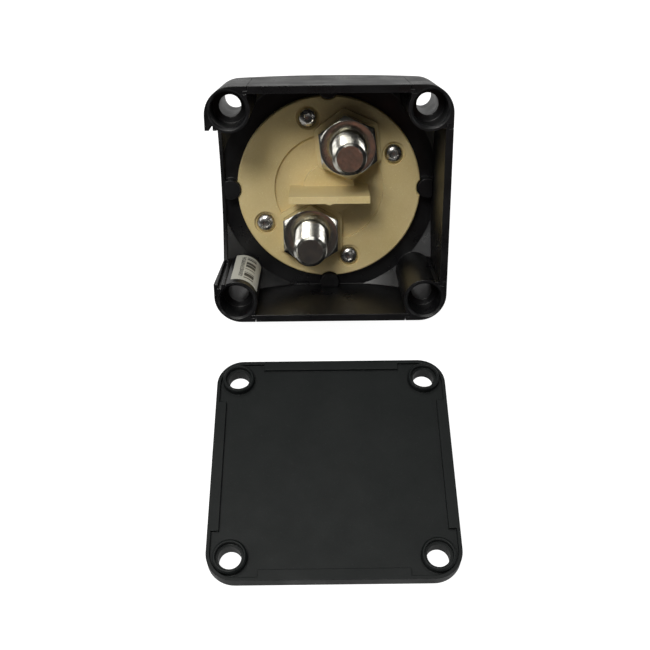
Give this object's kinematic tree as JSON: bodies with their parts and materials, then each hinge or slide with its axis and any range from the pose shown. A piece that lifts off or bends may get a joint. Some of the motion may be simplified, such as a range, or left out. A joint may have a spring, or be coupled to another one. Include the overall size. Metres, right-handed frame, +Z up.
{
  "type": "battery switch",
  "caption": "Square surface-mount battery switch tipped back to show its open back, terminal studs and cream contact block, with a turn knob in front and its flat cover laid beside it.",
  "frame": {"origin": "on the table, at the middle of the footprint of the switch and its cover together", "axes": "+Z up from the table, +Y from the cover towards the switch, +X to the right of someone who looks into the open back"},
  "size_m": [0.069, 0.1544, 0.0754],
  "materials": {
    "black_plastic": "moulded black plastic, satin with a fine grain",
    "cover_plastic": "moulded dark charcoal plastic, fine spark-eroded texture",
    "cream_plastic": "moulded cream heat-resistant plastic, satin",
    "stainless_steel": "bright stainless steel",
    "rubber": "soft black rubber",
    "tin_plate": "bright tin-plated brass, slightly uneven",
    "copper": "bare copper, rolled",
    "silver_contact": "silver contact metal, matt",
    "spring_steel": "oiled spring steel",
    "red_plastic": "moulded red plastic, semi-gloss",
    "white_plastic": "moulded white plastic",
    "plate_print": "dark grey inlay with a matt face",
    "label_paper": "white coated label"
  },
  "bodies": {
    "case": {"housing": "black_plastic", "side_panel_top": "black_plastic", "side_panel_right": "black_plastic", "side_panel_bottom": "black_plastic", "contact_block": "cream_plastic", "block_screws": "stainless_steel", "block_gasket": "rubber", "terminal_stud_upper": "tin_plate", "terminal_stud_lower": "tin_plate", "terminal_nut_upper": "tin_plate", "terminal_nut_lower": "tin_plate", "thrust_washer": "stainless_steel", "position_plate": "plate_print", "column_label": "label_paper"},
    "cover": {"back_cover": "cover_plastic"},
    "turning": {"rotor": "cream_plastic", "shaft_seal": "rubber", "shaft_clip": "spring_steel", "knob": "red_plastic", "knob_screw": "stainless_steel", "knob_cap": "red_plastic", "knob_pointer": "white_plastic"},
    "lifting": {"bridge_carriage": "cream_plastic", "contact_bridge": "copper", "contact_pads": "silver_contact", "stem_clip": "stainless_steel", "contact_spring": "spring_steel"}
  },
  "joints": [
    {"name": "cover_close", "type": "hinge", "parent": "case", "child": "cover", "pos_m": [0, -0.00181, 0.00915], "axis": [-1, 0, 0], "range_deg": [0, 122.22]},
    {"name": "knob_turn", "type": "hinge", "parent": "case", "child": "turning", "pos_m": [0, 0.01607, 0.04625], "axis": [0, -0.846, 0.5332], "range_deg": [0, 90]},
    {"name": "bridge_lift", "type": "slide", "parent": "case", "child": "lifting", "axis": [0, -0.846, 0.5332], "range_m": [0, 0.0024]}
  ],
  "couplings": [
    {"joint": "bridge_lift", "follows": "knob_turn", "m_per_rad": 0.0015279}
  ]
}
